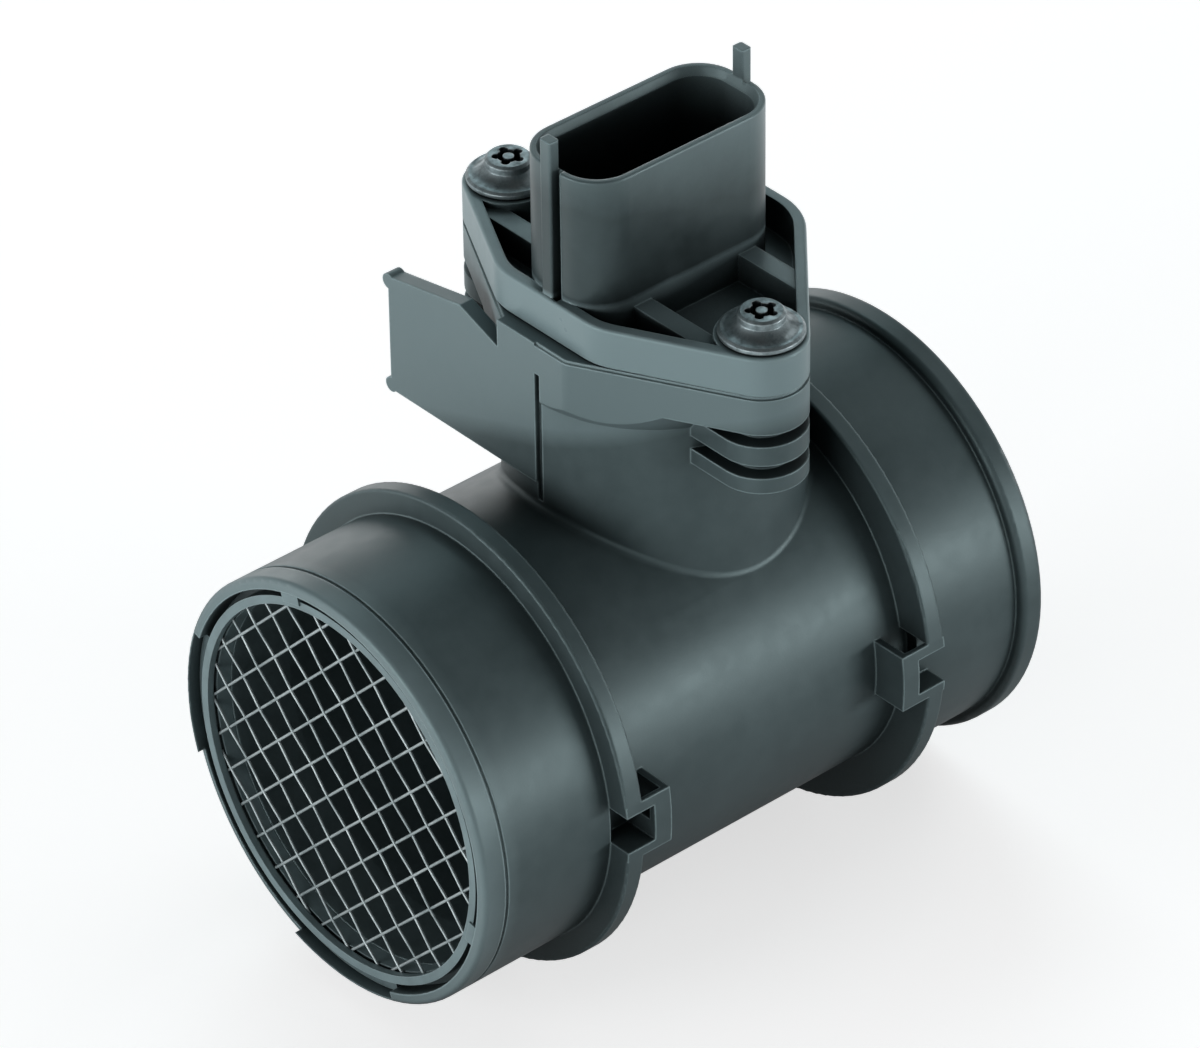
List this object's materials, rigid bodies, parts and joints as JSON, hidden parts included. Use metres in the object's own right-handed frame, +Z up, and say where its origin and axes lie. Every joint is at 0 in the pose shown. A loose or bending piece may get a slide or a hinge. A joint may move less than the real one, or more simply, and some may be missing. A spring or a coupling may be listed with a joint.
{
  "type": "mass airflow sensor",
  "caption": "Air duct tube with a screwed-in hot-film probe, grille over the inlet and an upright plug socket, for measuring engine intake air.",
  "frame": {"origin": "centre of the inlet's end face, on the tube's axis", "axes": "+X along the tube with the flow, +Z up the sensor tower, +Y completes a right-handed frame; -X leaves the inlet, where the hose comes off"},
  "size_m": [0.096, 0.0668, 0.1158],
  "materials": {
    "housing_plastic": "fine moulded grain",
    "probe_plastic": "fine moulded grain",
    "grille_plastic": "satin moulded",
    "grille_wire": "drawn wire",
    "seal_rubber": "smooth rubber",
    "screw_steel": "dark zinc plated",
    "insert_brass": "machined",
    "plate_metal": "rolled",
    "board": "fired ceramic",
    "component": "moulded",
    "sensor_glass": "polished",
    "terminal_metal": "tin plated",
    "bead_glass": "glazed"
  },
  "bodies": {
    "root": {"tube_housing": "housing_plastic", "grille_ring": "grille_plastic", "wire_grille": "grille_wire", "sensor_body": "probe_plastic", "seal_ring": "seal_rubber", "electronics_cover": "probe_plastic", "bypass_cover": "probe_plastic", "carrier_plate": "plate_metal", "circuit_board": "board", "sensor_chip": "sensor_glass", "signal_chip": "component", "supply_chip": "component", "capacitor_1": "component", "capacitor_2": "component", "trim_resistor": "component", "temperature_bead": "bead_glass", "temperature_lead_1": "terminal_metal", "temperature_lead_2": "terminal_metal", "left_screw": "screw_steel", "right_screw": "screw_steel", "left_insert": "insert_brass", "right_insert": "insert_brass", "terminal_1": "terminal_metal", "terminal_2": "terminal_metal", "terminal_3": "terminal_metal", "terminal_4": "terminal_metal", "terminal_5": "terminal_metal"}
  },
  "joints": []
}
